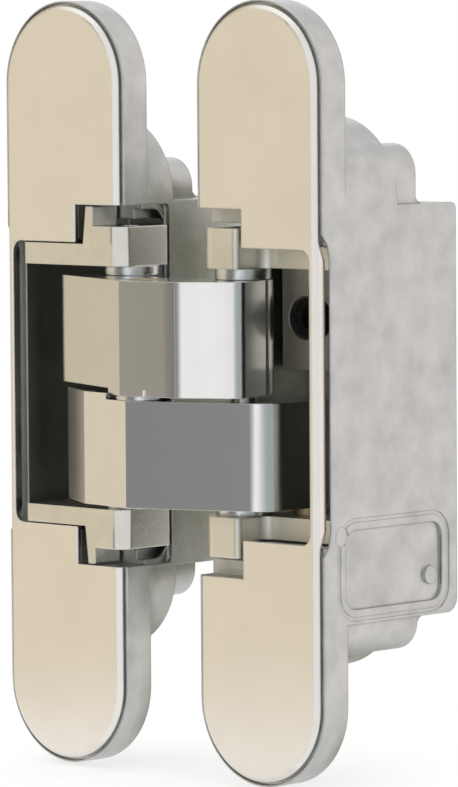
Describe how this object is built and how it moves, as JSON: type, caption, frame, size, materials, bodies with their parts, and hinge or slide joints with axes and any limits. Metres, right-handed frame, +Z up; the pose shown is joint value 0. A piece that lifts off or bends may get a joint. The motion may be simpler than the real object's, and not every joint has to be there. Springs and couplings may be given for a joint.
{
  "type": "concealed invisible door hinge",
  "caption": "Concealed door hinge with two long round-ended leaves, recessed boxes and two crossed scissor arms, shown fully open.",
  "frame": {"origin": "middle of the fixed leaf's outer screw pattern, on the seat behind its flange", "axes": "X across the leaves from the fixed leaf to the door leaf, Y into the door frame, Z up along the hinge axis"},
  "size_m": [0.073, 0.0435, 0.13],
  "materials": {
    "zinc": "matt die-cast zinc",
    "nickel_plate": "warm satin nickel plating",
    "nickel": "satin nickel plating on a casting",
    "satin": "smooth satin nickel plating",
    "steel": "turned steel",
    "bronze": "sintered bronze",
    "black_oxide": "black oxide"
  },
  "bodies": {
    "frame_leaf": {"frame_housing": "zinc", "frame_cover": "nickel_plate", "frame_clamp_screw": "black_oxide"},
    "frame_carriage": {"frame_carriage": "nickel", "frame_pivot_pin": "steel", "frame_lower_washer": "steel", "frame_upper_collar": "steel"},
    "lower_arm": {"lower_arm": "satin", "lower_arm_bush": "bronze", "lower_slide_pin": "steel", "lower_slide_bush": "bronze", "centre_pin": "steel", "centre_washer": "steel"},
    "upper_arm": {"upper_arm": "satin", "upper_arm_bush": "bronze", "centre_bush": "bronze", "upper_slide_pin": "steel", "upper_slide_bush": "bronze"},
    "door_carriage": {"door_carriage": "nickel", "door_pivot_pin": "steel", "door_upper_washer": "steel", "door_lower_collar": "steel"},
    "door_leaf": {"door_housing": "zinc", "door_cover": "nickel_plate", "door_clamp_screw": "black_oxide"}
  },
  "joints": [
    {"name": "frame_side_adjust", "type": "slide", "parent": "frame_leaf", "child": "frame_carriage", "axis": [-1, 0, 0], "range_m": [0, 0.0018]},
    {"name": "swing", "type": "hinge", "parent": "frame_carriage", "child": "lower_arm", "pos_m": [0.0104, -0.0002, 0], "axis": [0, 0, -1], "range_deg": [0, 111.37]},
    {"name": "centre_pivot", "type": "hinge", "parent": "lower_arm", "child": "upper_arm", "pos_m": [0.0233, -0.0107, 0], "axis": [0, 0, 1], "range_deg": [0, 42.75]},
    {"name": "door_pivot", "type": "hinge", "parent": "upper_arm", "child": "door_carriage", "pos_m": [0.0362, -0.0002, 0], "axis": [0, 0, -1], "range_deg": [0, 111.4]},
    {"name": "door_side_adjust", "type": "slide", "parent": "door_carriage", "child": "door_leaf", "axis": [1, 0, 0], "range_m": [-0.0007, 0.0015]}
  ],
  "couplings": [
    {"joint": "centre_pivot", "follows": "swing", "ratio": 0.38377},
    {"joint": "door_pivot", "follows": "swing", "ratio": 1}
  ]
}
